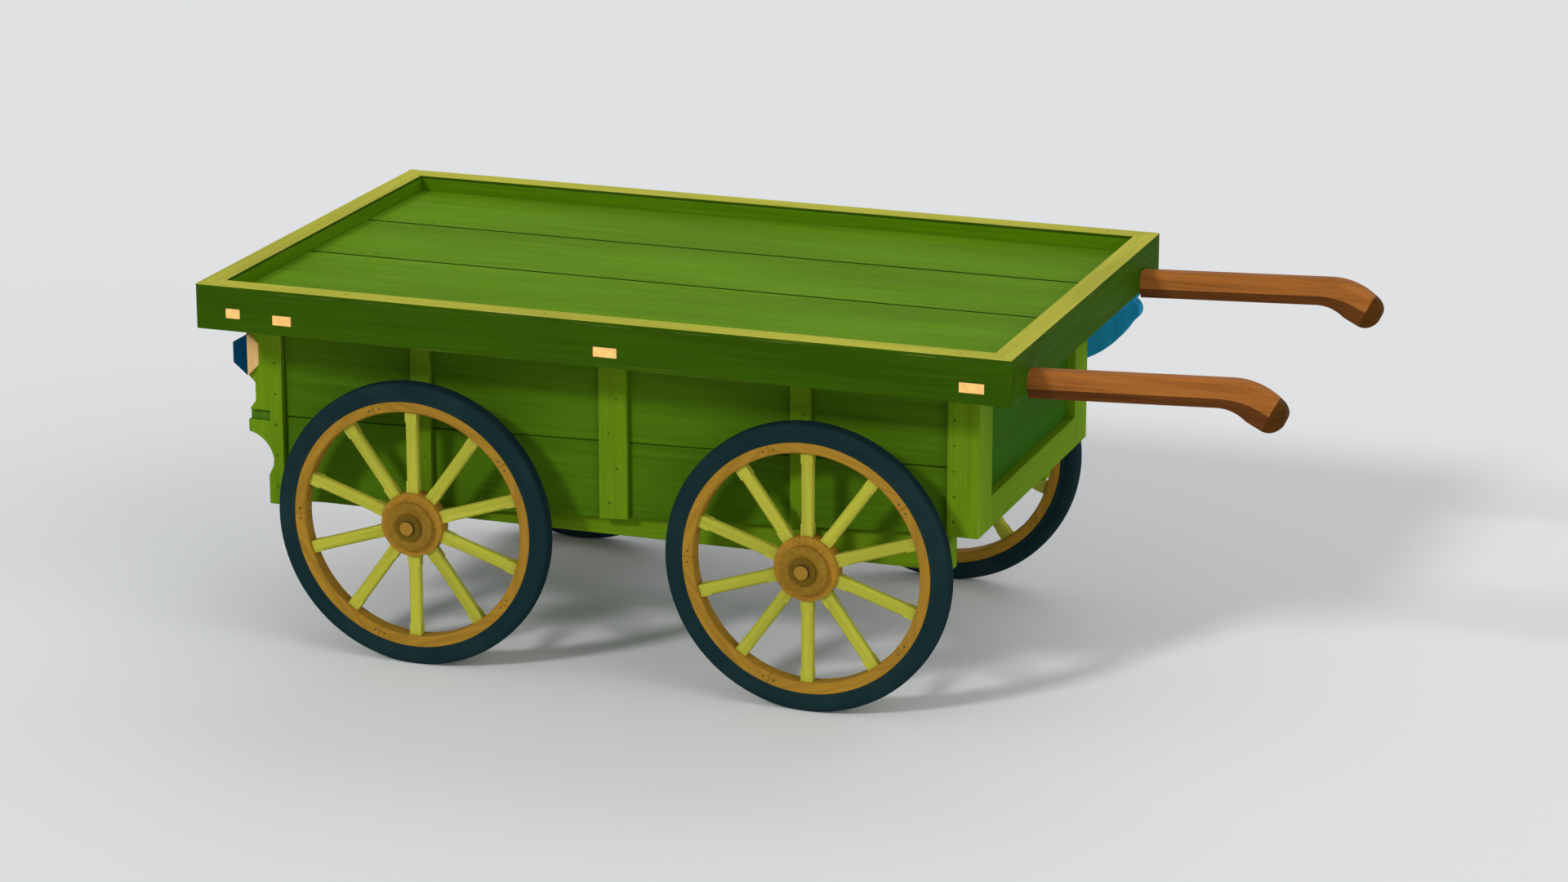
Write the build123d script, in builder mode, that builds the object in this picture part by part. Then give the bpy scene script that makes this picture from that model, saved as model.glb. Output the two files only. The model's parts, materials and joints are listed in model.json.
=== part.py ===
import os
from math import atan2, cos, hypot, radians, sin, tan

from build123d import *

os.makedirs("parts", exist_ok=True)

# Wheels and axles, in millimetres
wheel_radius = 330.0
tyre_thickness = 42.5
tyre_width = 42.0
felloe_depth = 24.5
felloe_width = 40.0
spoke_count = 10
spoke_width = 28.0
spoke_thickness = 22.0
spoke_chamfer = 5.0
spoke_stop = 26.0
spoke_in_hub = 14.0
spoke_in_felloe = 12.0
hub_radius = 74.0
hub_neck_radius = 56.0
hub_tail_radius = 50.0
hub_belly_half = 20.0
hub_outer_reach = 34.0
hub_inner_reach = 64.0
axle_radius = 16.0
axle_running_gap = 0.08
axle_side_gap = 2.0
axle_tip_length = 6.0
washer_radius = 31.0
washer_thickness = 5.0
washer_gap = 0.05
strap_length = 90.0
strap_thickness = 5.0
wheel_inset = 92.0
wheel_gap = 279.0
wheel_setback = 2.0

# Tray
tray_length = 1905.0
tray_width = 1175.0
tray_depth = 104.0
tyre_headroom = 104.0
frame_wall = 50.0
frame_housing = 12.0
cap_height = 8.0
deck_drop = 38.0
deck_thickness = 14.0
deck_board_width = 316.0
deck_seam = 4.0
tenon_proud = 1.5
tenon_height = 22.0
tenon_drop = 6.0
rear_bearer_setback = 90.0
rear_bearer_width = 34.0
second_bearer_setback = 210.0
second_bearer_width = 45.0
middle_bearer_shift = 31.0
middle_bearer_width = 55.0
front_bearer_setback = 87.0
front_bearer_width = 56.0

# Box body
side_inset = 170.0
batten_proud = 16.0
batten_width = 47.0
middle_batten_width = 68.0
rear_batten_shift = -15.0
middle_batten_shift = 15.0
front_batten_shift = -47.0
plank_thickness = 20.0
front_overhang = 120.0
front_post_width = 74.0
front_post_depth = 95.0
rear_post_setback = 36.0
rear_post_width = 86.0
rear_post_depth = 60.0
rear_post_drop = 4.0
foot_rise_rear = 2.0
foot_rise_front = 93.0
seam_rise_rear = 202.0
seam_rise_front = 244.0
plank_seam = 2.0
axle_notch_gap = 2.0
rail_below_axle = 15.0
rail_height = 110.0
rail_thickness = 45.0
floor_thickness = 18.0
floor_board_width = 192.0
floor_seam = 4.0
end_rail_height = 72.0
end_rail_thickness = 36.0
end_panel_thickness = 18.0
front_panel_recess = 20.0
rear_panel_setback = 64.0
boss_ridge = 14.0
boss_inset = 8.0
slot_depth = 14.0
slot_height = 24.0
slot_length = 54.0
slot_drop = 231.0

# Handles and bracket
handle_reach = 565.0
handle_inset = 141.5
handle_height = 62.0
handle_width = 52.0
handle_bevel_height = 24.0
handle_ease = 13.0
handle_root_rise = 18.0
handle_rise_angle = 2.6
handle_crown_run = 122.0
handle_waist_run = 152.0
handle_nose_lead = 10.0
handle_nose_bulge = 0.8
handle_nose_tilt = 26.0
handle_tenon_height = 36.0
handle_tenon_width = 34.0
bracket_thickness = 34.0

# Places that follow from the sizes
rear_x = -(tray_length + handle_reach) / 2
front_x = rear_x + tray_length
half_width = tray_width / 2
tray_bottom = 2 * wheel_radius + tyre_headroom
tray_top = tray_bottom + tray_depth
board_top = tray_top - cap_height
deck_top = tray_top - deck_drop
bearer_top = deck_top - deck_thickness
inner_half = half_width - frame_wall
body_half = half_width - side_inset
plank_outer = body_half - batten_proud
plank_inner = plank_outer - plank_thickness
rail_bottom = wheel_radius - rail_below_axle
rail_top = rail_bottom + rail_height
rail_inner = plank_inner - rail_thickness
rear_post_x = rear_x + rear_post_setback
planking_rear = rear_post_x + rear_post_width
body_front = front_x - front_overhang
planking_front = body_front - front_post_width
front_foot = rail_bottom + foot_rise_front
wheel_y = half_width - wheel_inset
tray_middle = rear_x + tray_length / 2
wheelbase = 2 * wheel_radius + wheel_gap
rear_axle_x = tray_middle - wheel_setback - wheelbase / 2
front_axle_x = rear_axle_x + wheelbase
handle_y = half_width - handle_inset
handle_root_z = tray_bottom + handle_root_rise
tyre_inner = wheel_radius - tyre_thickness
felloe_inner = tyre_inner - felloe_depth

# Like pieces, by side of the cart
sides = (("near", -1), ("far", 1))

# Bearers: name, centre along the cart, width, top of the tenon
bearers = (
    ("bearer_rear", rear_x + rear_bearer_setback, rear_bearer_width, bearer_top),
    ("bearer_rear_middle", rear_x + second_bearer_setback, second_bearer_width, bearer_top - tenon_drop),
    ("bearer_middle", tray_middle + middle_bearer_shift, middle_bearer_width, bearer_top - tenon_drop),
    ("bearer_front", front_x - front_bearer_setback, front_bearer_width, bearer_top - tenon_drop),
)

# Battens: centre along the cart, width
battens = (
    (rear_axle_x + rear_batten_shift, batten_width),
    ((planking_rear + planking_front) / 2 + middle_batten_shift, middle_batten_width),
    (front_axle_x + front_batten_shift, batten_width),
)

# Axles: name, place along the cart
axles = (("axle_rear", rear_axle_x), ("axle_front", front_axle_x))

# Wheels: name, place along the cart, side
wheels = (
    ("rear_near", rear_axle_x, -1),
    ("rear_far", rear_axle_x, 1),
    ("front_near", front_axle_x, -1),
    ("front_far", front_axle_x, 1),
)


def planking_line(x, rise_rear, rise_front):
    share = (x - planking_rear) / (planking_front - planking_rear)
    return rail_bottom + rise_rear + share * (rise_front - rise_rear)


def foot_height(x):
    return planking_line(x, foot_rise_rear, foot_rise_front)


def seam_height(x):
    return planking_line(x, seam_rise_rear, seam_rise_front)


def side_plane(y):
    return Plane(origin=(0, y, 0), x_dir=(1, 0, 0), z_dir=(0, -1, 0))


def box_between(x, y, z, mode=Mode.ADD):
    with BuildSketch(Plane.XY.offset(z[0])) as footprint:
        with Locations(((x[0] + x[1]) / 2, (y[0] + y[1]) / 2)):
            Rectangle(abs(x[1] - x[0]), abs(y[1] - y[0]))
    extrude(footprint.sketch, amount=z[1] - z[0], mode=mode)


def side_profile(points, y_outer, depth, mode=Mode.ADD):
    with BuildSketch(side_plane(y_outer)) as outline:
        with BuildLine():
            Polyline(*points, close=True)
        make_face()
    extrude(outline.sketch, amount=depth, mode=mode)


def keep(piece, node):
    piece.label = node
    export_step(piece, "parts/" + node + ".step")


# Tray side boards, with mortises for the bearers and housings for the end boards
end_tongue = inner_half + frame_housing
for side_name, side in sides:
    with BuildPart() as tray_side:
        box_between((rear_x, front_x), (side * inner_half, side * half_width), (tray_bottom, board_top))
        for end_x in (rear_x, front_x - frame_wall):
            box_between(
                (end_x, end_x + frame_wall),
                (side * inner_half, side * end_tongue),
                (tray_bottom, board_top),
                Mode.SUBTRACT,
            )
        for _, x, width, tenon_top in bearers:
            box_between(
                (x - width / 2, x + width / 2),
                (side * inner_half, side * half_width),
                (tenon_top - tenon_height, tenon_top),
                Mode.SUBTRACT,
            )
    keep(tray_side.part, "tray_side_" + side_name)

# Tray end boards, the front one mortised for the handles
for end_name, end_x in (("rear", rear_x), ("front", front_x - frame_wall)):
    with BuildPart() as tray_end:
        box_between((end_x, end_x + frame_wall), (-end_tongue, end_tongue), (tray_bottom, board_top))
        if end_name == "front":
            for _, side in sides:
                box_between(
                    (end_x, end_x + frame_wall),
                    (side * handle_y - handle_tenon_width / 2, side * handle_y + handle_tenon_width / 2),
                    (handle_root_z - handle_tenon_height / 2, handle_root_z + handle_tenon_height / 2),
                    Mode.SUBTRACT,
                )
    keep(tray_end.part, "tray_end_" + end_name)

# Capping strips, mitred at the corners
for side_name, side in sides:
    with BuildPart() as rim_cap:
        with BuildSketch(Plane.XY.offset(board_top)):
            with BuildLine():
                Polyline(
                    (rear_x, side * half_width),
                    (front_x, side * half_width),
                    (front_x - frame_wall, side * inner_half),
                    (rear_x + frame_wall, side * inner_half),
                    close=True,
                )
            make_face()
        extrude(amount=cap_height)
    keep(rim_cap.part, "rim_cap_" + side_name)
for end_name, outer_x, inner_x in (
    ("rear", rear_x, rear_x + frame_wall),
    ("front", front_x, front_x - frame_wall),
):
    with BuildPart() as rim_cap:
        with BuildSketch(Plane.XY.offset(board_top)):
            with BuildLine():
                Polyline(
                    (outer_x, -half_width),
                    (outer_x, half_width),
                    (inner_x, inner_half),
                    (inner_x, -inner_half),
                    close=True,
                )
            make_face()
        extrude(amount=cap_height)
    keep(rim_cap.part, "rim_cap_" + end_name)

# Deck boards, laid from the far side, the last one ripped to fit
deck_edge = inner_half
deck_number = 0
while deck_edge > -inner_half + deck_seam:
    deck_number += 1
    next_edge = max(deck_edge - deck_board_width, -inner_half)
    with BuildPart() as deck_board:
        box_between(
            (rear_x + frame_wall, front_x - frame_wall),
            (next_edge, deck_edge),
            (bearer_top, deck_top),
        )
    keep(deck_board.part, "deck_board_" + str(deck_number))
    deck_edge = next_edge - deck_seam

# Bearers with through tenons
tenon_end = half_width + tenon_proud
for node, x, width, tenon_top in bearers:
    with BuildPart() as bearer:
        box_between((x - width / 2, x + width / 2), (-inner_half, inner_half), (tray_bottom, bearer_top))
        box_between(
            (x - width / 2, x + width / 2),
            (-tenon_end, tenon_end),
            (tenon_top - tenon_height, tenon_top),
        )
    keep(bearer.part, node)

# Side planks between the corner posts, two a side, tapered along the sloping seam and foot
for side_name, side in sides:
    outer = plank_outer if side > 0 else -plank_inner
    with BuildPart() as plank_upper:
        side_profile(
            (
                (planking_rear, seam_height(planking_rear) + plank_seam),
                (planking_front, seam_height(planking_front) + plank_seam),
                (planking_front, tray_bottom),
                (planking_rear, tray_bottom),
            ),
            outer,
            plank_thickness,
        )
    keep(plank_upper.part, "side_plank_upper_" + side_name)
    with BuildPart() as plank_lower:
        side_profile(
            (
                (planking_rear, foot_height(planking_rear)),
                (planking_front, foot_height(planking_front)),
                (planking_front, seam_height(planking_front)),
                (planking_rear, seam_height(planking_rear)),
            ),
            outer,
            plank_thickness,
        )
        for _, axle_x in axles:
            notch = axle_radius + axle_notch_gap
            box_between(
                (axle_x - notch, axle_x + notch),
                (side * plank_inner, side * plank_outer),
                (rail_bottom - notch, wheel_radius + notch),
                Mode.SUBTRACT,
            )
    keep(plank_lower.part, "side_plank_lower_" + side_name)

# Battens on the planking, three a side in one node
for side_name, side in sides:
    outer = body_half if side > 0 else -plank_outer
    with BuildPart() as side_battens:
        for x, width in battens:
            left = x - width / 2
            right = x + width / 2
            batten_outline = (
                (left, foot_height(left)),
                (right, foot_height(right)),
                (right, tray_bottom),
                (left, tray_bottom),
            )
            side_profile(batten_outline, outer, batten_proud)
        for _, axle_x in axles:
            notch = axle_radius + axle_notch_gap
            box_between(
                (axle_x - notch, axle_x + notch),
                (side * plank_outer, side * body_half),
                (rail_bottom - notch, wheel_radius + notch),
                Mode.SUBTRACT,
            )
    keep(side_battens.part, "side_battens_" + side_name)

# Front corner posts
front_post_inner = body_half - front_post_depth
for side_name, side in sides:
    with BuildPart() as front_post:
        box_between(
            (planking_front, body_front),
            (side * front_post_inner, side * body_half),
            (front_foot, tray_bottom),
        )
    keep(front_post.part, "corner_post_front_" + side_name)

# Rear boss, a faceted hexagon: offset behind the ridge, drop below the tray
boss_right = ((22, 74), (22, 124))
boss_left = ((-42, 76), (-42, 124))
boss_top_drop = 52
boss_foot_drop = 148
ridge_x = rear_post_x + boss_inset


def boss_points(corners):
    points = [(ridge_x, tray_bottom - boss_top_drop)]
    points += [(ridge_x + offset, tray_bottom - drop) for offset, drop in corners]
    points.append((ridge_x, tray_bottom - boss_foot_drop))
    return points


# Rear post carving: offset from the post's rear edge, drop below the tray
carving_upper = ((0, 148), (19, 167), (19, 210), (0, 235), (0, 284))
cove_middle = (42, 307)
cove_end = (60, 346)
carving_lower = ((58, 363), (47, 385))
rear_post_foot = rail_bottom - rear_post_drop
rear_post_inner = body_half - rear_post_depth


def carving(points):
    return [(rear_post_x + offset, tray_bottom - drop) for offset, drop in points]


for side_name, side in sides:
    outer = body_half if side > 0 else -rear_post_inner
    with BuildPart() as rear_post:
        with BuildSketch(side_plane(outer)):
            with BuildLine():
                upper = carving(carving_upper)
                lower = carving(carving_lower)
                cove = carving((carving_upper[-1], cove_middle, cove_end))
                Polyline((planking_rear, tray_bottom), (rear_post_x, tray_bottom), *upper)
                ThreePointArc(*cove)
                Polyline(
                    cove[-1],
                    *lower,
                    (lower[-1][0], rear_post_foot),
                    (planking_rear, rear_post_foot),
                    (planking_rear, tray_bottom),
                )
            make_face()
        extrude(amount=rear_post_depth)
        for corners in (boss_left, boss_right):
            side_profile(boss_points(corners), outer, rear_post_depth, Mode.SUBTRACT)
        slot_face = side * body_half
        box_between(
            (rear_post_x, rear_post_x + slot_length),
            (slot_face - side * slot_depth, slot_face),
            (tray_bottom - slot_drop - slot_height, tray_bottom - slot_drop),
            Mode.SUBTRACT,
        )
    keep(rear_post.part, "carved_post_rear_" + side_name)

# Boss halves, one node each, with a face that slopes from the ridge to the rim
for half_name, corners in (("blue", boss_left), ("bare", boss_right)):
    reach = corners[0][0]
    with BuildPart() as boss:
        for _, side in sides:
            ridge_y = side * (body_half + boss_ridge)
            outer = body_half + boss_ridge if side > 0 else -rear_post_inner
            side_profile(boss_points(corners), outer, rear_post_depth + boss_ridge)
            with BuildSketch(Plane.XY.offset(tray_bottom - boss_foot_drop)):
                with BuildLine():
                    Polyline(
                        (ridge_x, ridge_y),
                        (ridge_x + reach, ridge_y),
                        (ridge_x + reach, side * body_half),
                        close=True,
                    )
                make_face()
            extrude(amount=boss_foot_drop - boss_top_drop, mode=Mode.SUBTRACT)
    keep(boss.part, "boss_" + half_name)

# End frames: bottom rail flush with the posts and a recessed panel above it
with BuildPart() as end_rail_front:
    box_between(
        (body_front - end_rail_thickness, body_front),
        (-front_post_inner, front_post_inner),
        (front_foot, front_foot + end_rail_height),
    )
keep(end_rail_front.part, "end_rail_front")
with BuildPart() as end_panel_front:
    box_between(
        (body_front - front_panel_recess - end_panel_thickness, body_front - front_panel_recess),
        (-front_post_inner, front_post_inner),
        (front_foot + end_rail_height, tray_bottom),
    )
keep(end_panel_front.part, "end_panel_front")
with BuildPart() as end_rail_rear:
    box_between(
        (planking_rear - end_rail_thickness, planking_rear),
        (-rear_post_inner, rear_post_inner),
        (rear_post_foot, rear_post_foot + end_rail_height),
    )
keep(end_rail_rear.part, "end_rail_rear")
with BuildPart() as end_panel_rear:
    box_between(
        (rear_post_x + rear_panel_setback, rear_post_x + rear_panel_setback + end_panel_thickness),
        (-rear_post_inner, rear_post_inner),
        (rear_post_foot + end_rail_height, tray_bottom),
    )
keep(end_panel_rear.part, "end_panel_rear")

# Chassis rails behind the planking, notched over the axles
for side_name, side in sides:
    with BuildPart() as chassis_rail:
        box_between(
            (planking_rear, planking_front),
            (side * rail_inner, side * plank_inner),
            (rail_bottom, rail_top),
        )
        for _, axle_x in axles:
            box_between(
                (axle_x - axle_radius, axle_x + axle_radius),
                (side * rail_inner, side * plank_inner),
                (rail_bottom, wheel_radius + axle_radius),
                Mode.SUBTRACT,
            )
    keep(chassis_rail.part, "chassis_rail_" + side_name)

# Floor boards across the rails, one node
floor_pitch = floor_board_width + floor_seam
floor_count = int((planking_front - planking_rear + floor_seam) // floor_pitch)
floor_start = (planking_rear + planking_front - floor_count * floor_pitch + floor_seam) / 2
with BuildPart() as floor_boards:
    for number in range(floor_count):
        left = floor_start + number * floor_pitch
        box_between(
            (left, left + floor_board_width),
            (-plank_inner, plank_inner),
            (rail_top, rail_top + floor_thickness),
        )
keep(floor_boards.part, "floor_boards")

# Axles: a square bed that stops just short of the hubs, and round arms through them
hub_outer_end = wheel_y + hub_outer_reach
bed_end = wheel_y - hub_inner_reach - axle_side_gap
washer_inner = hub_outer_end + axle_side_gap
axle_end = washer_inner + washer_thickness + axle_tip_length
for node, x in axles:
    with BuildPart() as axle:
        box_between(
            (x - axle_radius, x + axle_radius),
            (-bed_end, bed_end),
            (wheel_radius - axle_radius, wheel_radius + axle_radius),
        )
        with BuildSketch(side_plane(axle_end)):
            with Locations((x, wheel_radius)):
                Circle(axle_radius)
        extrude(amount=2 * axle_end)
    keep(axle.part, node)

# Straps that hold the axles up in the rails, one node
with BuildPart() as axle_straps:
    for _, x in axles:
        for _, side in sides:
            box_between(
                (x - strap_length / 2, x + strap_length / 2),
                (side * rail_inner, side * plank_inner),
                (wheel_radius - axle_radius - strap_thickness, wheel_radius - axle_radius),
            )
keep(axle_straps.part, "axle_straps")

# Washers outside the hubs, one node
with BuildPart() as axle_washers:
    for _, x in axles:
        for _, side in sides:
            washer_middle = (x, side * washer_inner, wheel_radius)
            with BuildSketch(Plane(origin=washer_middle, x_dir=(1, 0, 0), z_dir=(0, side, 0))):
                Circle(washer_radius)
                Circle(axle_radius + washer_gap, mode=Mode.SUBTRACT)
            extrude(amount=washer_thickness)
keep(axle_washers.part, "axle_washers")

# Handles: a straight shaft, tenoned through the front board, whose grip bends down to a rounded nose
rise = radians(handle_rise_angle)
tilt = radians(handle_nose_tilt)
nose_x = front_x + handle_reach
crest = handle_height / 2
half_grip = handle_width / 2
core_half = half_grip - handle_ease
nose_radius = half_grip + handle_nose_bulge
# Back from the nose and above the root's middle: crown, nose, toe, heel, sole and waist of the grip
grip_core = ((12, 10), (0, -17), (20, -50), (35, -56), (57, -52), (88, -36))
grip_flank = ((22, 2), (9, -8), (17, -18), (24, -20), (35, -17), (76, 2))


def shaft_point(back, lift):
    x = nose_x - back
    return (x, handle_root_z + (x - front_x) * tan(rise) + lift)


def bend_middle(start, end):
    run = end[0] - start[0]
    fall = end[1] - start[1]
    lean = atan2(fall, run)
    sag = hypot(run, fall) / 2 * tan((rise - lean) / 2)
    return ((start[0] + end[0]) / 2 - sag * sin(lean), (start[1] + end[1]) / 2 + sag * cos(lean))


def handle_outline(y, top, bottom, grip):
    crown, nose, toe, heel, sole, waist = [(nose_x - back, handle_root_z + lift) for back, lift in grip]
    crown_start = shaft_point(handle_crown_run, top)
    waist_start = shaft_point(handle_waist_run, bottom)
    root_top = shaft_point(handle_reach, top)
    root_bottom = shaft_point(handle_reach, bottom)
    with BuildSketch(side_plane(y)) as outline:
        with BuildLine():
            Line(root_top, crown_start)
            ThreePointArc(crown_start, bend_middle(crown_start, crown), crown)
            ThreePointArc(crown, nose, toe)
            ThreePointArc(toe, heel, sole)
            Line(sole, waist)
            ThreePointArc(waist, bend_middle(waist_start, waist), waist_start)
            Line(waist_start, root_bottom)
            Line(root_bottom, root_top)
        make_face()
    return outline.sketch


for side_name, side in sides:
    middle = side * handle_y
    core = handle_outline(middle, crest, -crest, grip_core)
    cheeks = []
    for flank in (-1, 1):
        inner = handle_outline(middle + flank * core_half, crest, -crest, grip_core)
        outer = handle_outline(
            middle + flank * half_grip, crest - handle_ease, handle_bevel_height - crest, grip_flank
        )
        cheeks.append((inner, outer))
    with BuildPart() as handle:
        extrude(core, amount=core_half, both=True)
        for inner, outer in cheeks:
            loft([inner, outer], ruled=True)
        nose_plane = Plane(
            origin=(nose_x, middle, handle_root_z),
            x_dir=(cos(tilt), 0, -sin(tilt)),
            z_dir=(sin(tilt), 0, cos(tilt)),
        )
        with BuildSketch(nose_plane):
            with Locations((handle_nose_lead - nose_radius, 0)):
                Rectangle(2 * nose_radius, 2 * handle_width, align=(Align.MIN, Align.CENTER))
                Circle(nose_radius, mode=Mode.SUBTRACT)
        extrude(amount=2 * handle_height, both=True, mode=Mode.SUBTRACT)
        box_between(
            (front_x - front_bearer_setback + front_bearer_width / 2, front_x),
            (middle - handle_tenon_width / 2, middle + handle_tenon_width / 2),
            (handle_root_z - handle_tenon_height / 2, handle_root_z + handle_tenon_height / 2),
        )
    keep(handle.part, "handle_" + side_name)

# Console bracket on the far front post: offset ahead of the post, drop below the tray
belly = ((0, 165), (66, 119), (106, 67))
knob_middle = (122, 44)
knob_end = (108, 20)
bracket_heel = ((-66, 0), (-66, 190))
with BuildPart() as bracket:
    with BuildSketch(side_plane(body_half + bracket_thickness)):
        with BuildLine():
            curve = [(body_front + offset, tray_bottom - drop) for offset, drop in belly]
            knob = [(body_front + offset, tray_bottom - drop) for offset, drop in (knob_middle, knob_end)]
            heel = [(body_front + offset, tray_bottom - drop) for offset, drop in bracket_heel]
            ThreePointArc(*curve)
            ThreePointArc(curve[-1], *knob)
            Polyline(knob[-1], (front_x, tray_bottom), *heel, curve[0])
        make_face()
    extrude(amount=bracket_thickness)
keep(bracket.part, "bracket_front_far")

# Wheel pieces, made once about the vertical and stood up at each axle end
with BuildPart() as tyre:
    with BuildSketch(Plane.XY.offset(-tyre_width / 2)):
        Circle(wheel_radius)
        Circle(tyre_inner, mode=Mode.SUBTRACT)
    extrude(amount=tyre_width)

# Spokes: square ends driven into hub and felloe, stop-chamfered between them
spoke_foot = hub_radius - spoke_in_hub
spoke_tip = felloe_inner + spoke_in_felloe
with BuildPart() as spokes:
    for start, end, chamfered in (
        (spoke_foot, hub_radius + spoke_stop, False),
        (hub_radius + spoke_stop, felloe_inner - spoke_stop, True),
        (felloe_inner - spoke_stop, spoke_tip, False),
    ):
        with BuildSketch(Plane.YZ.offset(start)):
            Rectangle(spoke_width, spoke_thickness)
            if chamfered:
                chamfer(vertices(), spoke_chamfer)
        extrude(amount=end - start)
    one_spoke = spokes.part
    for number in range(1, spoke_count):
        add(one_spoke.rotate(Axis.Z, 360 * number / spoke_count))

with BuildPart() as felloe:
    with BuildSketch(Plane.XY.offset(-felloe_width / 2)):
        Circle(tyre_inner)
        Circle(felloe_inner, mode=Mode.SUBTRACT)
    extrude(amount=felloe_width)
    add(spokes.part, mode=Mode.SUBTRACT)

# Hub: a turned barrel with a stepped neck and tail, mortised for the spokes
with BuildPart() as hub:
    bore = axle_radius + axle_running_gap
    with BuildSketch(Plane.XZ):
        with BuildLine():
            Polyline(
                (bore, -hub_inner_reach),
                (hub_tail_radius, -hub_inner_reach),
                (hub_tail_radius, -hub_belly_half),
                (hub_radius, -hub_belly_half),
                (hub_radius, hub_belly_half),
                (hub_neck_radius, hub_belly_half),
                (hub_neck_radius, hub_outer_reach),
                (bore, hub_outer_reach),
                close=True,
            )
        make_face()
    revolve(axis=Axis.Z)
    add(spokes.part, mode=Mode.SUBTRACT)

for wheel_name, x, side in wheels:
    stand = Plane(origin=(x, side * wheel_y, wheel_radius), x_dir=(0, 0, 1), z_dir=(0, side, 0)).location
    for piece_name, piece in (("tyre", tyre), ("felloe", felloe), ("spokes", spokes), ("hub", hub)):
        keep(piece.part.moved(stand), piece_name + "_" + wheel_name)
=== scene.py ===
import json
import math
import random

import bmesh
import bpy
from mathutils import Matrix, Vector

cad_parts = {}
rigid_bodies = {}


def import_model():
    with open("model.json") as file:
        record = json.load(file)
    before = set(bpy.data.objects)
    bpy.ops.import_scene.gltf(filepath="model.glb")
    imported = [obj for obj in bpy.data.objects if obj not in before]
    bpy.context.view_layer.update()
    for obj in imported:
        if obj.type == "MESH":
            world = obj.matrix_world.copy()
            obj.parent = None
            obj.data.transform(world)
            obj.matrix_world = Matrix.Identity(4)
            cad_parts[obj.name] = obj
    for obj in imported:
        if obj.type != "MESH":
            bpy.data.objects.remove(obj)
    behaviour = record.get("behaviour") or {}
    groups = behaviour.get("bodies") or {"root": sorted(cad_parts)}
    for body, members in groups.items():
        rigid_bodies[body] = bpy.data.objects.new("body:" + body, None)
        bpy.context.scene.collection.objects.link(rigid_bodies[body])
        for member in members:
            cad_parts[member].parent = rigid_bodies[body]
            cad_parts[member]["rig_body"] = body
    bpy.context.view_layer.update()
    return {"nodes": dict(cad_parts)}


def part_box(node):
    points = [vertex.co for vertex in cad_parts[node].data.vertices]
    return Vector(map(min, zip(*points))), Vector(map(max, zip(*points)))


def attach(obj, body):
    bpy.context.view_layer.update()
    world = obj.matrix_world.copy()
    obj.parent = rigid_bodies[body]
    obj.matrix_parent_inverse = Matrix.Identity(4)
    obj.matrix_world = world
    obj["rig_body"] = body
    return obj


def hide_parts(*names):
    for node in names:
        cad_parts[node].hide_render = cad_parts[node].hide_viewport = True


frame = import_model()
nodes = frame["nodes"]
scene = bpy.context.scene
mm = 0.001
weld = 0.02 * mm  # corners closer than this are one
flatTurn = math.radians(0.6)  # flatter facets are joined
keenTurn = math.radians(24)  # sharper edges are eased
sliceSlack = 0.01 * mm
dice = random.Random(11)  # grain offsets of the boards, then the deck nails' stray
print("frame loaded,", len(nodes), "nodes")


def tint(code, gain=1.0):  # a written colour as linear light
    parts = [int(code[k:k + 2], 16) / 255 for k in (0, 2, 4)]
    line = [p / 12.92 if p < 0.04045 else ((p + 0.055) / 1.055) ** 2.4 for p in parts]
    return tuple(min(1.0, gain * p) for p in line) + (1.0,)


class Wire:  # a socket that takes part in sums
    def __init__(self, sheet, socket):
        self.sheet = sheet
        self.socket = socket

    def sums(self, operation, first, second):
        return self.sheet.add("ShaderNodeMath", {"operation": operation}, {0: first, 1: second})

    def __add__(self, other):
        return self.sums("ADD", self, other)

    def __sub__(self, other):
        return self.sums("SUBTRACT", self, other)

    def __rsub__(self, other):
        return self.sums("SUBTRACT", other, self)

    def __mul__(self, other):
        return self.sums("MULTIPLY", self, other)

    def __truediv__(self, other):
        return self.sums("DIVIDE", self, other)

    __radd__ = __add__
    __rmul__ = __mul__

    def least(self, other):
        return self.sums("MINIMUM", self, other)

    def most(self, other):
        return self.sums("MAXIMUM", self, other)

    def outlet(self, key):  # another output of the same node
        return Wire(self.sheet, self.socket.node.outputs[key])


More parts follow.
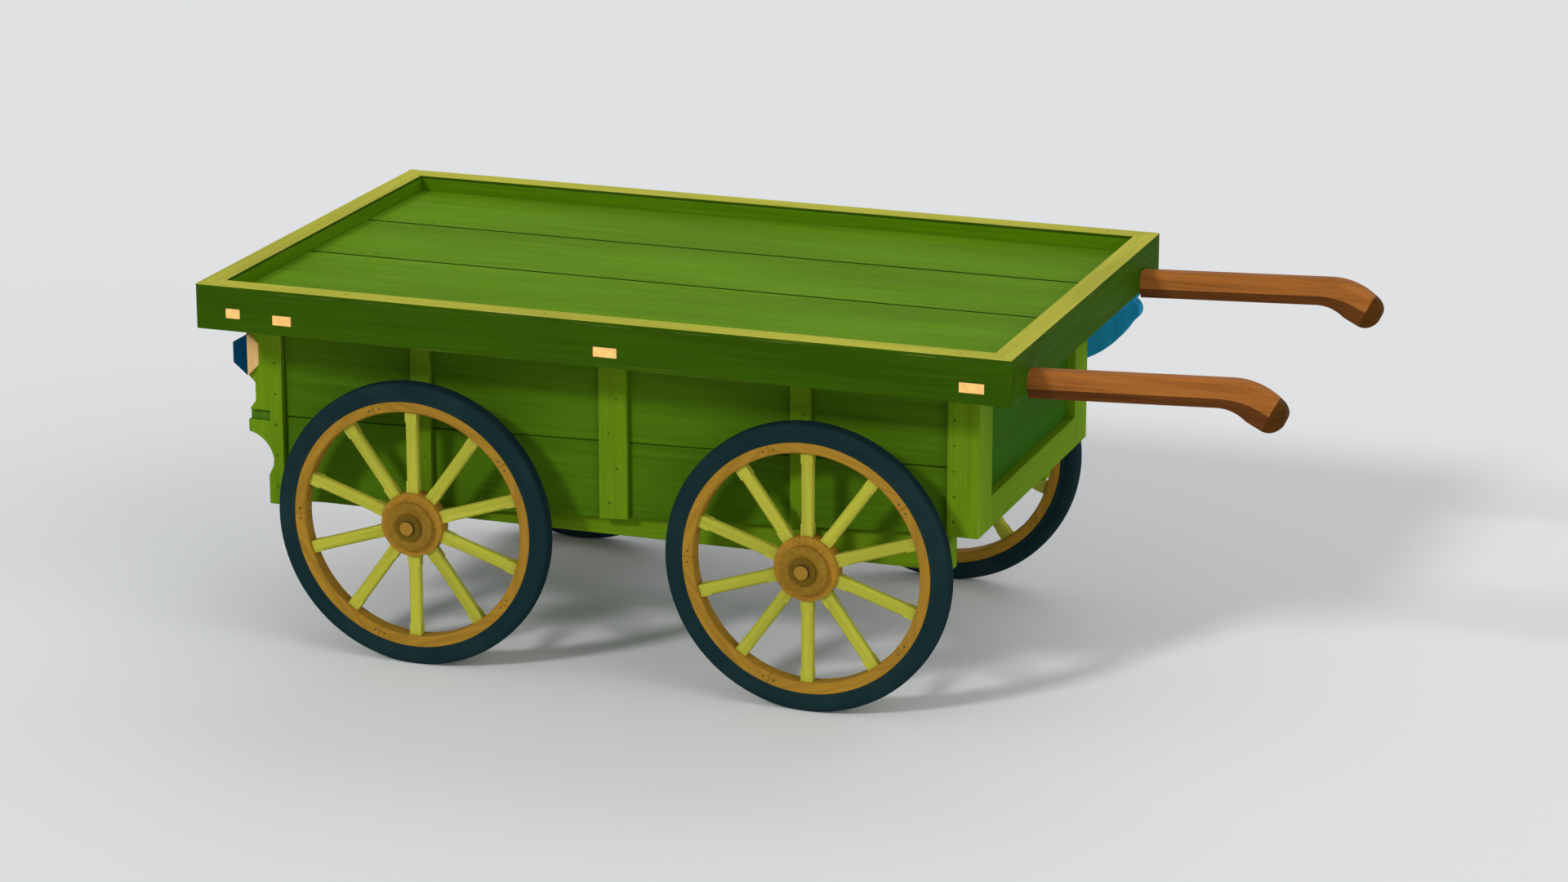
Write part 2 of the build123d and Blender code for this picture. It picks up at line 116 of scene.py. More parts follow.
class Finish:  # one material and its nodes
    def __init__(self, name, sheen=0.01):
        self.material = bpy.data.materials.new(name)
        self.material.use_nodes = True
        self.tree = self.material.node_tree
        self.shader = self.tree.nodes["Principled BSDF"]
        self.shader.inputs["Specular IOR Level"].default_value = sheen

    def add(self, kind, settings, values, out=0):
        node = self.tree.nodes.new(kind)
        for key, value in settings.items():
            setattr(node, key, value)
        for key, value in values.items():
            self.feed(node.inputs[key], value)
        return Wire(self, node.outputs[out])

    def feed(self, socket, value):
        if isinstance(value, Wire):
            self.tree.links.new(value.socket, socket)
        else:
            socket.default_value = value

    def attribute(self, name):
        return self.add("ShaderNodeAttribute", {"attribute_name": name}, {}, "Vector")

    def vector(self, operation, first, second):
        return self.add("ShaderNodeVectorMath", {"operation": operation}, {0: first, 1: second})

    def noise(self, spot, stretch, detail=4.0, rough=0.55):
        values = {"Vector": self.vector("MULTIPLY", spot, stretch), "Scale": 1.0}
        values.update({"Detail": detail, "Roughness": rough})
        return self.add("ShaderNodeTexNoise", {}, values)

    def ease(self, value, low, high):  # 0 below low, 1 above high
        settings = {"interpolation_type": "SMOOTHSTEP"}
        values = {"Value": value, "From Min": low, "From Max": high}
        return self.add("ShaderNodeMapRange", settings, values)

    def blend(self, factor, first, second):
        settings = {"data_type": "RGBA"}
        return self.add("ShaderNodeMix", settings, {0: factor, 6: first, 7: second}, 2)

    def edgeDistance(self):  # metres to the nearest arris of the board
        size = self.add("ShaderNodeVectorMath", {"operation": "ABSOLUTE"}, {0: self.attribute("local")})
        left = self.vector("SUBTRACT", self.attribute("half"), size)
        across = self.add("ShaderNodeSeparateXYZ", {}, {0: left}, "X")
        second = across.outlet("Y")
        return across.least(second).most(across.most(second).least(across.outlet("Z")))

    def bump(self, height, strength, depth):
        values = {"Height": height, "Strength": strength, "Distance": depth}
        self.feed(self.shader.inputs["Normal"], self.add("ShaderNodeBump", {}, values))


def paintedTimber(name, look):
    f = Finish(name)
    grain = f.attribute("grain")
    streak = f.noise(grain, (2.4, 95.0, 95.0), 5.0, 0.6)
    fibre = f.noise(grain, (9.0, 430.0, 430.0), 3.0)
    broad = f.noise(grain, (1.3, 6.0, 6.0), 3.0)
    patch = f.noise(grain, (7.0, 26.0, 26.0), 4.0, 0.6)
    shade = f.ease(streak * 0.5 + broad * 0.5, 0.34, 0.66)
    deep = tint(look["paint"], 1 - look["depth"])
    fair = tint(look["paint"], 1 + look["depth"])
    coat = f.blend(shade, deep, fair)
    edge = f.edgeDistance()
    rub = f.ease(patch * 1.6 - edge / look["wearReach"], 0.55, 0.9)
    scuff = f.ease(f.noise(grain, (3.0, 150.0, 150.0), 2.0), 0.64, 0.75) * f.ease(broad, 0.48, 0.62)
    bare = (rub * look["wear"] + scuff * look["scuff"]).least(0.85)
    seam = (1 - f.ease(edge, look["seamReach"] * 0.3, look["seamReach"])) * look["seam"]
    coat = f.blend(bare, coat, tint(look["bare"]))
    f.feed(f.shader.inputs["Base Color"], f.blend(seam, coat, tint(look["soil"])))
    f.feed(f.shader.inputs["Roughness"], look["rough"] + (patch - 0.5) * 0.25 + bare * 0.2)
    f.bump(streak * 0.6 + fibre * 0.4 - bare * 0.25, look["relief"], 0.9 * mm)
    return f.material


def bareTimber(name, look):
    f = Finish(name)
    grain = f.attribute("grain")
    warp = f.noise(grain, (1.6, 9.0, 9.0), 2.0)
    lines = f.noise(grain, (1.8, look["pace"], look["pace"]), 4.0, 0.62)
    fibre = f.noise(grain, (11.0, 460.0, 460.0), 3.0)
    figure = f.ease(lines * 0.7 + warp * 0.3, 0.36, 0.64)
    tone = f.blend(figure, tint(look["wood"], 1 - look["depth"]), tint(look["wood"], 1 + look["depth"]))
    pore = f.ease(fibre, 0.56, 0.72) * look["pores"]
    tone = f.blend(pore, tone, tint(look["dark"]))
    grime = f.ease(f.noise(grain, (3.0, 12.0, 12.0), 4.0), 0.55, 0.75) * look["grime"]
    tone = f.blend(grime, tone, tint(look["dark"]))
    f.feed(f.shader.inputs["Base Color"], tone)
    f.feed(f.shader.inputs["Roughness"], look["rough"] + (lines - 0.5) * 0.25)
    f.bump(lines * 0.5 + fibre * 0.5, look["relief"], 0.7 * mm)
    return f.material


def ironWork(name, look):
    f = Finish(name)
    spot = f.add("ShaderNodeTexCoord", {}, {}, "Object")
    mottle = f.noise(spot, (60.0, 60.0, 60.0), 5.0, 0.65)
    grit = f.noise(spot, (420.0, 420.0, 420.0), 3.0)
    rust = f.ease(mottle, 0.5, 0.68) * look["rust"]
    f.feed(f.shader.inputs["Base Color"], f.blend(rust, tint(look["iron"]), tint(look["stain"])))
    f.feed(f.shader.inputs["Metallic"], look["metal"] * (1 - rust))
    f.feed(f.shader.inputs["Roughness"], look["rough"] + (grit - 0.5) * 0.3 + rust * 0.2)
    f.bump(mottle * 0.5 + grit * 0.5, 0.3, 0.5 * mm)
    return f.material


def tyreRubber(name, look):
    f = Finish(name)
    spot = f.add("ShaderNodeTexCoord", {}, {}, "Object")
    haze = f.noise(spot, (9.0, 30.0, 9.0), 4.0)
    grit = f.noise(spot, (350.0, 350.0, 350.0), 2.0)
    dust = f.ease(haze, 0.42, 0.75) * look["dust"]
    f.feed(f.shader.inputs["Base Color"], f.blend(dust, tint(look["rubber"]), tint(look["road"])))
    f.feed(f.shader.inputs["Roughness"], look["rough"] + (haze - 0.5) * 0.2)
    f.bump(grit, 0.25, 0.4 * mm)
    return f.material


def islands(bm):  # the vertices of each separate solid
    seen = set()
    groups = []
    for start in bm.verts:
        if start in seen:
            continue
        seen.add(start)
        group = [start]
        for v in group:
            for e in v.link_edges:
                other = e.other_vert(v)
                if other not in seen:
                    seen.add(other)
                    group.append(other)
        groups.append(group)
    return groups


def boxAxes(points):  # grain along the longest side
    spans = [max(p[k] for p in points) - min(p[k] for p in points) for k in range(3)]
    order = sorted(range(3), key=lambda k: -spans[k])
    return [Vector([1.0 if k == j else 0.0 for k in range(3)]) for j in order]


def stampGrain(mesh, axesFor):
    bm = bmesh.new()
    bm.from_mesh(mesh)
    bm.verts.index_update()
    count = len(bm.verts)
    rows = {key: [0.0] * (3 * count) for key in ("grain", "local", "half")}
    for group in islands(bm):
        axes = axesFor([v.co for v in group])
        shift = [dice.uniform(-20, 20) for _ in axes]
        for k, axis in enumerate(axes):
            reach = [v.co.dot(axis) for v in group]
            middle = (max(reach) + min(reach)) / 2
            half = (max(reach) - min(reach)) / 2
            for v, r in zip(group, reach):
                rows["local"][3 * v.index + k] = r - middle
                rows["grain"][3 * v.index + k] = r - middle + shift[k]
                rows["half"][3 * v.index + k] = half
    bm.free()
    for key, values in rows.items():
        mesh.attributes.new(key, "FLOAT_VECTOR", "POINT").data.foreach_set("vector", values)


def place(mesh, title, body, slotName, *replaced):
    piece = bpy.data.objects.new(title, mesh)
    scene.collection.objects.link(piece)
    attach(piece, body)
    if replaced:
        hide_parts(*replaced)
    return piece


def settle(piece, modifier):  # the modifier's result as a plain mesh
    bpy.context.view_layer.update()
    solid = bpy.data.meshes.new_from_object(piece.evaluated_get(bpy.context.evaluated_depsgraph_get()))
    piece.modifiers.remove(modifier)
    piece.data = solid
    return solid


def finishMesh(bm, title, finishes, axesFor, pick, sharp=20.0):
    for face in bm.faces:
        face.smooth = True
    mesh = bpy.data.meshes.new(title)
    bm.to_mesh(mesh)
    bm.free()
    stampGrain(mesh, axesFor)
    for finish in finishes:
        mesh.materials.append(finish)
    if pick:
        for face in mesh.polygons:
            face.material_index = pick(face.center, face.normal)
    mesh.set_sharp_from_angle(angle=math.radians(sharp))
    return mesh


def orderFaces(bm):  # slicing leaves the faces in an order that changes from run to run
    bm.verts.index_update()
    count = len(bm.verts)

    def rank(face):
        first, second, third = sorted(v.index for v in face.verts)[:3]
        return (first * count + second) * count + third

    bm.faces.sort(key=rank)


def dress(name, finishes, slotName, cut, steps=2, axesFor=boxAxes, pick=None, slices=()):
    title = name.capitalize()
    bm = bmesh.new()
    bm.from_mesh(nodes[name].data)
    bmesh.ops.remove_doubles(bm, verts=bm.verts[:], dist=weld)
    bmesh.ops.dissolve_limit(bm, angle_limit=flatTurn, verts=bm.verts[:], edges=bm.edges[:])
    keen = [e for e in bm.edges if len(e.link_faces) == 2 and e.calc_face_angle() > keenTurn]
    bmesh.ops.bevel(bm, geom=keen, offset=cut, offset_type="OFFSET", segments=steps, profile=0.5,
                    affect="EDGES", clamp_overlap=True)
    for spot, way in slices:  # a clean line where the finish changes
        whole = bm.verts[:] + bm.edges[:] + bm.faces[:]
        bmesh.ops.bisect_plane(bm, geom=whole, dist=sliceSlack, plane_co=spot, plane_no=way)
    if slices:
        orderFaces(bm)
    mesh = finishMesh(bm, title, finishes, axesFor, pick)
    return place(mesh, title, nodes[name]["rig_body"], slotName, name)


# Tray and deck
trayLook = {
    "paint": "304F06", "bare": "8A8A45", "depth": 0.16, "wear": 0.4, "scuff": 0.18,
    "wearReach": 5.0 * mm, "rough": 0.58, "relief": 0.35, "cut": 2.0 * mm,
    "soil": "141C04", "seam": 0.0, "seamReach": 4.0 * mm,
}
# the tray boards' inner faces get a lighter green than their outer faces: painted light against the shade
# inside the tray
innerWallLightLook = dict(trayLook, paint="4D7305")
rimLook = dict(trayLook, paint="ACAA3C", bare="C9B27A", wear=0.5, scuff=0.25, cut=1.2 * mm)
deckLook = dict(trayLook, paint="5B8312", bare="9A9C55", scuff=0.3, wear=0.1, seam=0.9)
faceTurns = {"wall": 0.4, "top": 0.3, "slot": 0.5}  # limits on a face's normal
deckBoards = range(1, 5)
trayPaint = paintedTimber("Tray dark green", trayLook)
innerWallLight = paintedTimber("Tray inner green, painted light", innerWallLightLook)
rimPaint = paintedTimber("Rim olive", rimLook)
deckPaint = paintedTimber("Deck green", deckLook)
trayMiddle = (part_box("tray_side_near")[0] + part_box("tray_side_far")[1]) / 2


def insideTray(centre, normal):  # the walls that look into the tray, whose lighter green is painted light against their shade
    toMiddle = Vector((trayMiddle.x - centre.x, trayMiddle.y - centre.y, 0))
    return 1 if abs(normal.z) < faceTurns["wall"] and normal.dot(toMiddle) > 0 else 0


def rimFace(centre, normal):  # olive on top, the tray's green down the sides
    return 0 if normal.z > faceTurns["top"] else 1


for name in ("tray_side_near", "tray_side_far", "tray_end_front", "tray_end_rear"):
    dress(name, [trayPaint, innerWallLight], "tray_paint", trayLook["cut"], pick=insideTray)
pinStand = 0.3 * mm  # pin heads end level with the rim's own top
topLayer = 2 * mm  # vertices this near to a cap's top belong to it
for side in ("near", "far", "front", "rear"):
    cap = dress("rim_cap_" + side, [rimPaint, trayPaint], "rim_paint", rimLook["cut"], pick=rimFace)
    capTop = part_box("rim_cap_" + side)[1].z
    for v in cap.data.vertices:
        if v.co.z > capTop - topLayer:
            v.co.z -= pinStand
for k in deckBoards:
    dress("deck_board_" + str(k), [deckPaint], "deck_paint", deckLook["cut"])
print("tray dressed")

# Bearers, whose tenons show on the tray's faces
bearerLook = {
    "wood": "FEC576", "dark": "A9743A", "depth": 0.1, "pores": 0.25, "grime": 0.1,
    "pace": 70.0, "rough": 0.6, "relief": 0.3, "cut": 1.0 * mm,
}
bearerWood = bareTimber("Pale bearer timber", bearerLook)
bearers = ("bearer_rear", "bearer_rear_middle", "bearer_middle", "bearer_front")
for name in bearers:
    dress(name, [bearerWood], "bare_wood", bearerLook["cut"])
print("bearers dressed")

# Box body
postLook = dict(trayLook, paint="608212", bare="A8A35C", wear=0.45, cut=2.2 * mm)
plankLook = dict(trayLook, paint="466A0E", bare="86893F", wear=0.2, cut=1.5 * mm, seam=0.6)
panelLook = dict(trayLook, paint="2A5608", bare="6E7C3C", wear=0.3, cut=1.5 * mm)
postPaint = paintedTimber("Post green", postLook)
plankPaint = paintedTimber("Plank green", plankLook)
panelPaint = paintedTimber("Panel green", panelLook)
# the slot's darker green is painted shade in the recess
slotShadePaint = paintedTimber("Slot shadow green", dict(postLook, paint="4A7119", wear=0.1))
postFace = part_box("carved_post_rear_far")[1].y
slotFloor = postFace - 20 * mm
slotMouth = postFace - 4 * mm


def inSlot(centre, normal):  # the recess in the carved post's face, painted a darker green as painted shade
    inside = slotFloor < abs(centre.y) < slotMouth
    return 1 if inside and normal.x < faceTurns["slot"] else 0


for side in ("near", "far"):
    for name in ("corner_post_front_", "side_battens_", "chassis_rail_"):
        dress(name + side, [postPaint], "post_paint", postLook["cut"])
    dress("carved_post_rear_" + side, [postPaint, slotShadePaint], "post_paint", postLook["cut"], pick=inSlot)
    for name in ("side_plank_lower_", "side_plank_upper_"):
        dress(name + side, [plankPaint], "plank_paint", plankLook["cut"])
for end in ("front", "rear"):
    dress("end_rail_" + end, [postPaint], "post_paint", postLook["cut"])
    dress("end_panel_" + end, [panelPaint], "panel_paint", panelLook["cut"])
dress("floor_boards", [panelPaint], "panel_paint", panelLook["cut"])
print("box body dressed")

# Boss of the rear posts and the bracket
bossLook = {
    "wood": "FFCC88", "dark": "B8824A", "depth": 0.08, "pores": 0.15, "grime": 0.08,
    "pace": 80.0, "rough": 0.55, "relief": 0.3, "cut": 1.5 * mm,
}
blueLook = dict(trayLook, paint="01324A", bare="3E6F86", wear=0.35, scuff=0.1)
tealLook = dict(trayLook, paint="1F86AE", bare="5F9BB0", wear=0.35, scuff=0.12, cut=1.8 * mm)
dress("boss_bare", [bareTimber("Boss bare wood", bossLook)], "boss_bare_wood", bossLook["cut"])
dress("boss_blue", [paintedTimber("Boss blue", blueLook)], "boss_blue_paint", bossLook["cut"])
dress("bracket_front_far", [paintedTimber("Bracket teal", tealLook)], "bracket_paint", tealLook["cut"])
print("boss and bracket dressed")

# Handles
handleLook = {
    "wood": "955B28", "dark": "44290B", "depth": 0.2, "pores": 0.35, "grime": 0.25,
    "pace": 75.0, "rough": 0.42, "relief": 0.3, "cut": 3.0 * mm, "steps": 3,
    "droop": math.radians(26), "endGrain": 34 * mm, "underTurn": -0.22,
}
# a darker copy of the handle's wood for its downward faces: painted shade
handleShadeLook = dict(handleLook, wood="5C3517", dark="301B06")
# the nose's end is much darker, partly for real end grain and partly as painted shade
noseShadeLook = dict(handleLook, wood="4A2D0E", dark="2A1704", grime=0.4)
handleWood = bareTimber("Handle oiled wood", handleLook)
handleShadeWood = bareTimber("Handle underside painted shade", handleShadeLook)
handleNoseShade = bareTimber("Handle end grain, painted shade", noseShadeLook)
droop = handleLook["droop"]
gripDroop = Vector((math.cos(droop), 0, -math.sin(droop)))  # the way the nose looks
noseReach = max(v.co.dot(gripDroop) for v in nodes["handle_near"].data.vertices)
noseLine = gripDroop * (noseReach - handleLook["endGrain"])  # end grain shows beyond this, darkened partly as real end grain and partly as painted shade


# faces turned down take the darker brown as painted shade; the nose beyond the line takes the dark end
# finish
def handlePart(centre, normal):
    if (centre - noseLine).dot(gripDroop) > 0:
        return 2
    return 1 if normal.z < handleLook["underTurn"] else 0


for side in ("near", "far"):
    handle = dress("handle_" + side, [handleWood, handleShadeWood, handleNoseShade], "handle_wood",
                   handleLook["cut"], handleLook["steps"], pick=handlePart, slices=[(noseLine, gripDroop)])
    level = handle.modifiers.new("Even shading", "WEIGHTED_NORMAL")
    level.keep_sharp = True
    settle(handle, level)
print("handles dressed")

# Axles and their ironwork
axleLook = {"iron": "3A3630", "stain": "5A3A1C", "rust": 0.5, "metal": 0.7, "rough": 0.5, "cut": 0.8 * mm}
washerLook = dict(axleLook, iron="685218", stain="4A3414", metal=0.2)
tipLook = dict(axleLook, iron="96722A", stain="80622A", metal=0.1)
strapLook = dict(axleLook, iron="2C2B28", rust=0.35)
axleIron = ironWork("Axle steel", axleLook)
tipIron = ironWork("Axle tip", tipLook)
washerIron = ironWork("Washer iron", washerLook)
strapIron = ironWork("Strap iron", strapLook)
hubFace = abs(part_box("hub_rear_near")[0].y)


def axleTip(centre, normal):
    return 1 if abs(centre.y) > hubFace else 0


for end in ("rear", "front"):
    dress("axle_" + end, [axleIron, tipIron], "axle_steel", axleLook["cut"], pick=axleTip)
dress("axle_washers", [washerIron], "washer_iron", axleLook["cut"])
dress("axle_straps", [strapIron], "strap_iron", axleLook["cut"])
print("axles dressed")

# Wheels
wheelLook = {
    "turns": 96, "hubTurns": 64, "felloes": 5, "felloeSteps": 18, "jointGap": 0.5 * mm,
    "firstJoint": math.radians(36), "felloeDepth": 24.5 * mm, "felloeCut": 3.0 * mm,
    "beadCut": 0.6 * mm, "spokeCut": 1.2 * mm, "tyreSharp": 40.0, "hubSharp": 35.0,
}
rubberLook = {"rubber": "152A2D", "road": "2C3A38", "dust": 0.3, "rough": 0.66}
spokeLook = dict(trayLook, paint="A4A437", bare="C8B67C", wear=0.4, scuff=0.15)
felloeLook = {
    "wood": "997327", "dark": "5E4114", "depth": 0.14, "pores": 0.3, "grime": 0.2,
    "pace": 85.0, "rough": 0.5, "relief": 0.3,
}
hubLook = dict(felloeLook, wood="9A7226")
neckLook = dict(felloeLook, wood="856622")
tyreFinish = tyreRubber("Tyre rubber", rubberLook)
spokePaint = paintedTimber("Spoke olive", spokeLook)
felloeWood = bareTimber("Felloe wood", felloeLook)
hubWood = bareTimber("Hub belly wood", hubLook)
neckWood = bareTimber("Hub neck wood", neckLook)
tyreHalf = (  # how far out in millimetres of radius, then to the side, from the bead to the crown
    (0.0, 19.6), (0.5, 20.4), (1.6, 21.0), (8.0, 21.0), (9.0, 20.3), (10.6, 20.3), (11.6, 21.0),
    (26.0, 21.0), (33.0, 20.4), (37.4, 19.0), (40.4, 16.6), (42.0, 13.4), (42.3, 10.4), (40.6, 9.8),
    (40.6, 8.2), (42.4, 7.6), (42.5, 2.2), (40.8, 1.6), (40.8, 0.0),
)
hubSizes = {
    "bore": 16.6 * mm, "neck": 56 * mm, "tail": 50 * mm, "bellyHalf": 20 * mm,
    "ease": 2.5 * mm, "easeMiddle": 0.29, "neckStart": 22 * mm,
}
axleLine = Vector((0, 1, 0))


def ringAt(bm, section, centre, angle):  # the section's corners at one angle about the axle line
    spots = [Vector((r * math.cos(angle), y, r * math.sin(angle))) for r, y in section]
    return [bm.verts.new(centre + spot) for spot in spots]


def skin(bm, here, there):  # the faces between two neighbouring rings
    for j in range(len(here)):
        n = (j + 1) % len(here)
        bm.faces.new((here[j], here[n], there[n], there[j]))


def lathe(profile, centre, turns):  # a closed profile turned about the axle line
    bm = bmesh.new()
    rings = [ringAt(bm, profile, centre, 2 * math.pi * k / turns) for k in range(turns)]
    for k in range(turns):
        skin(bm, rings[k], rings[(k + 1) % turns])
    bmesh.ops.recalc_face_normals(bm, faces=bm.faces[:])
    return bm


def arcSolid(bm, section, centre, start, end, steps):  # the section swept through part of a turn
    rings = [ringAt(bm, section, centre, start + (end - start) * k / steps) for k in range(steps + 1)]
    for here, there in zip(rings, rings[1:]):
        skin(bm, here, there)
    bm.faces.new(rings[0])
    bm.faces.new(rings[-1])


def wheelAxes(centre, outFirst):  # grain out along a spoke, or round the rim
    def axes(points):
        middle = sum(points, Vector()) / len(points) - centre
        out = Vector((middle.x, 0, middle.z)).normalized()
        along = Vector((-out.z, 0, out.x))
        return [out, along, axleLine] if outFirst else [along, out, axleLine]

    return axes


def hubAxes(points):  # grain along the axle
    return [axleLine, Vector((1, 0, 0)), Vector((0, 0, 1))]


def makeTyre(wheel, centre, bead):
    half = tyreHalf + tuple((r, -y) for r, y in reversed(tyreHalf[:-1]))
    profile = [(bead + r * mm, y * mm) for r, y in half]
    bm = lathe(profile, centre, wheelLook["turns"])
    mesh = finishMesh(bm, "Tyre_" + wheel, [tyreFinish], boxAxes, None, wheelLook["tyreSharp"])
    place(mesh, "Tyre_" + wheel, "wheel_" + wheel, "tyre_rubber", "tyre_" + wheel)


def makeFelloes(wheel, centre, bead):
    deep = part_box("felloe_" + wheel)
    width = (deep[1].y - deep[0].y) / 2
    inside = bead - wheelLook["felloeDepth"]
    c = wheelLook["felloeCut"]
    b = wheelLook["beadCut"]
    section = [(bead, width - b), (bead, b - width), (bead - b, -width)]
    section += [(inside + c, -width), (inside, c - width), (inside, width - c), (inside + c, width)]
    section += [(bead - b, width)]
    bm = bmesh.new()
    sweep = 2 * math.pi / wheelLook["felloes"]
    gap = wheelLook["jointGap"] / bead
    for k in range(wheelLook["felloes"]):
        start = wheelLook["firstJoint"] + k * sweep
        arcSolid(bm, section, centre, start + gap, start + sweep - gap, wheelLook["felloeSteps"])
    bmesh.ops.recalc_face_normals(bm, faces=bm.faces[:])
    mesh = finishMesh(bm, "Felloes_" + wheel, [felloeWood], wheelAxes(centre, False), None)
    place(mesh, "Felloes_" + wheel, "wheel_" + wheel, "felloe_wood", "felloe_" + wheel)


def makeHub(wheel, centre):
    outward = -1 if centre.y < 0 else 1
    low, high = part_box("hub_" + wheel)
    face = max(outward * (low.y - centre.y), outward * (high.y - centre.y))
    back = min(outward * (low.y - centre.y), outward * (high.y - centre.y))
    radius = (high.x - low.x) / 2
    h = hubSizes
    e = h["ease"]
    steps = [(h["bore"], back), (h["tail"], back), (h["tail"], -h["bellyHalf"]), (radius, -h["bellyHalf"])]
    steps += [(radius, h["bellyHalf"]), (h["neck"], h["bellyHalf"]), (h["neck"], face), (h["bore"], face)]
    profile = []
    for j, corner in enumerate(steps):  # each corner of the turned steps is rounded
        here = Vector(corner)
        toLast = (Vector(steps[j - 1]) - here).normalized() * e
        toNext = (Vector(steps[(j + 1) % len(steps)]) - here).normalized() * e
        profile += [here + toLast, here + (toLast + toNext) * h["easeMiddle"], here + toNext]
    bm = lathe([(p.x, outward * p.y) for p in profile], centre, wheelLook["hubTurns"])

    def neck(point, normal):
        return 1 if (point.y - centre.y) * outward > h["neckStart"] else 0

    mesh = finishMesh(bm, "Hub_" + wheel, [hubWood, neckWood], hubAxes, neck, wheelLook["hubSharp"])
    place(mesh, "Hub_" + wheel, "wheel_" + wheel, "hub_wood", "hub_" + wheel)


wheels = ("rear_near", "rear_far", "front_near", "front_far")
for wheel in wheels:
    low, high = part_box("tyre_" + wheel)
    centre = (low + high) / 2
    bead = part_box("felloe_" + wheel)[1].x - centre.x  # felloe's outside, where the tyre sits
    makeTyre(wheel, centre, bead)
    makeFelloes(wheel, centre, bead)
    alongSpoke = wheelAxes(centre, True)
    dress("spokes_" + wheel, [spokePaint], "spoke_paint", wheelLook["spokeCut"], axesFor=alongSpoke)
    makeHub(wheel, centre)
print("wheels made")


# Nails, pins, rivets and nuts, set by Geometry Nodes
headRings = 6


def studTree(name, nut):
    tree = bpy.data.node_groups.new(name, "GeometryNodeTree")
    sockets = {}
    wanted = (("Points", "Geometry"), ("Head radius", "Float"), ("Head height", "Float"), ("Sides", "Int"),
              ("Spread", "Float"), ("Seed", "Int"), ("Material", "Material"))
    for label, kind in wanted:
        made = tree.interface.new_socket(label, in_out="INPUT", socket_type="NodeSocket" + kind)
        sockets[label] = made.identifier
    tree.interface.new_socket("Studs", in_out="OUTPUT", socket_type="NodeSocketGeometry")
    link = tree.links.new

    def add(kind, **settings):
        node = tree.nodes.new(kind)
        for key, value in settings.items():
            setattr(node, key, value)
        return node

    given = add("NodeGroupInput")
    if nut:
        head = add("GeometryNodeMeshCylinder", fill_type="NGON")
        link(given.outputs["Sides"], head.inputs["Vertices"])
        link(given.outputs["Head radius"], head.inputs["Radius"])
        link(given.outputs["Head height"], head.inputs["Depth"])
        shape = head.outputs["Mesh"]
    else:
        ball = add("GeometryNodeMeshUVSphere")
        link(given.outputs["Sides"], ball.inputs["Segments"])
        ball.inputs["Rings"].default_value = headRings
        link(given.outputs["Head radius"], ball.inputs["Radius"])
        ratio = add("ShaderNodeMath", operation="DIVIDE")
        link(given.outputs["Head height"], ratio.inputs[0])
        link(given.outputs["Head radius"], ratio.inputs[1])
        squash = add("ShaderNodeCombineXYZ")
        squash.inputs["X"].default_value = 1.0
        squash.inputs["Y"].default_value = 1.0
        link(ratio.outputs[0], squash.inputs["Z"])
        flat = add("GeometryNodeTransform")
        link(ball.outputs["Mesh"], flat.inputs["Geometry"])
        link(squash.outputs[0], flat.inputs["Scale"])
        shape = flat.outputs["Geometry"]
    facing = add("GeometryNodeInputNamedAttribute", data_type="FLOAT_VECTOR")
    facing.inputs["Name"].default_value = "facing"
    turn = add("FunctionNodeAlignRotationToVector", axis="Z")
    link(facing.outputs["Attribute"], turn.inputs["Vector"])
    low = add("ShaderNodeMath", operation="SUBTRACT")
    low.inputs[0].default_value = 1.0
    link(given.outputs["Spread"], low.inputs[1])
    chance = add("FunctionNodeRandomValue", data_type="FLOAT")
    link(low.outputs[0], chance.inputs["Min"])
    chance.inputs["Max"].default_value = 1.0
    link(given.outputs["Seed"], chance.inputs["Seed"])
    put = add("GeometryNodeInstanceOnPoints")
    link(given.outputs["Points"], put.inputs["Points"])
    link(shape, put.inputs["Instance"])
    link(turn.outputs["Rotation"], put.inputs["Rotation"])
    link(chance.outputs["Value"], put.inputs["Scale"])
    real = add("GeometryNodeRealizeInstances")
    link(put.outputs["Instances"], real.inputs["Geometry"])
    coat = add("GeometryNodeSetMaterial")
    link(real.outputs["Geometry"], coat.inputs["Geometry"])
    link(given.outputs["Material"], coat.inputs["Material"])
    out = add("NodeGroupOutput")
    link(coat.outputs["Geometry"], out.inputs["Studs"])
    return tree, sockets


headTree = studTree("Round heads", False)
nutTree = studTree("Nuts", True)


def setStuds(title, body, places, made, look, finish):
    tree, sockets = made
    mesh = bpy.data.meshes.new(title)
    mesh.from_pydata([p for p, _ in places], [], [])
    facing = [c for _, way in places for c in way]
    mesh.attributes.new("facing", "FLOAT_VECTOR", "POINT").data.foreach_set("vector", facing)
    piece = bpy.data.objects.new(title, mesh)
    scene.collection.objects.link(piece)
    studs = piece.modifiers.new("Studs", "NODES")
    studs.node_group = tree
    for label, value in look.items():
        studs[sockets[label]] = value
    studs[sockets["Material"]] = finish
    solid = settle(piece, studs)
    for face in solid.polygons:
        face.use_smooth = tree is headTree[0]
    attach(piece, body)


nailLook = {"Head radius": 4.2 * mm, "Head height": 1.1 * mm, "Sides": 10, "Spread": 0.2, "Seed": 3}
pinLook = dict(nailLook, **{"Head radius": 2.8 * mm, "Head height": 0.5 * mm, "Seed": 5})
nutLook = {"Head radius": 10.0 * mm, "Head height": 7.0 * mm, "Sides": 6, "Spread": 0.0, "Seed": 1}
nailIron = ironWork("Nail iron", dict(strapLook, iron="3B3A28", stain="5A4520", metal=0.3))
nailPaint = ironWork("Painted nail", dict(strapLook, iron="49650F", stain="4A4A18", metal=0.0, rough=0.6))
nailRows = {
    "deckInset": 26 * mm, "deckStray": 4.0, "battenCount": 5, "battenShove": 9 * mm,
    "postCount": 6, "postInset": 17 * mm, "postFirst": 0.6, "postPaces": 6.2,
}
pinRow = {"pitch": 0.24, "least": 3}
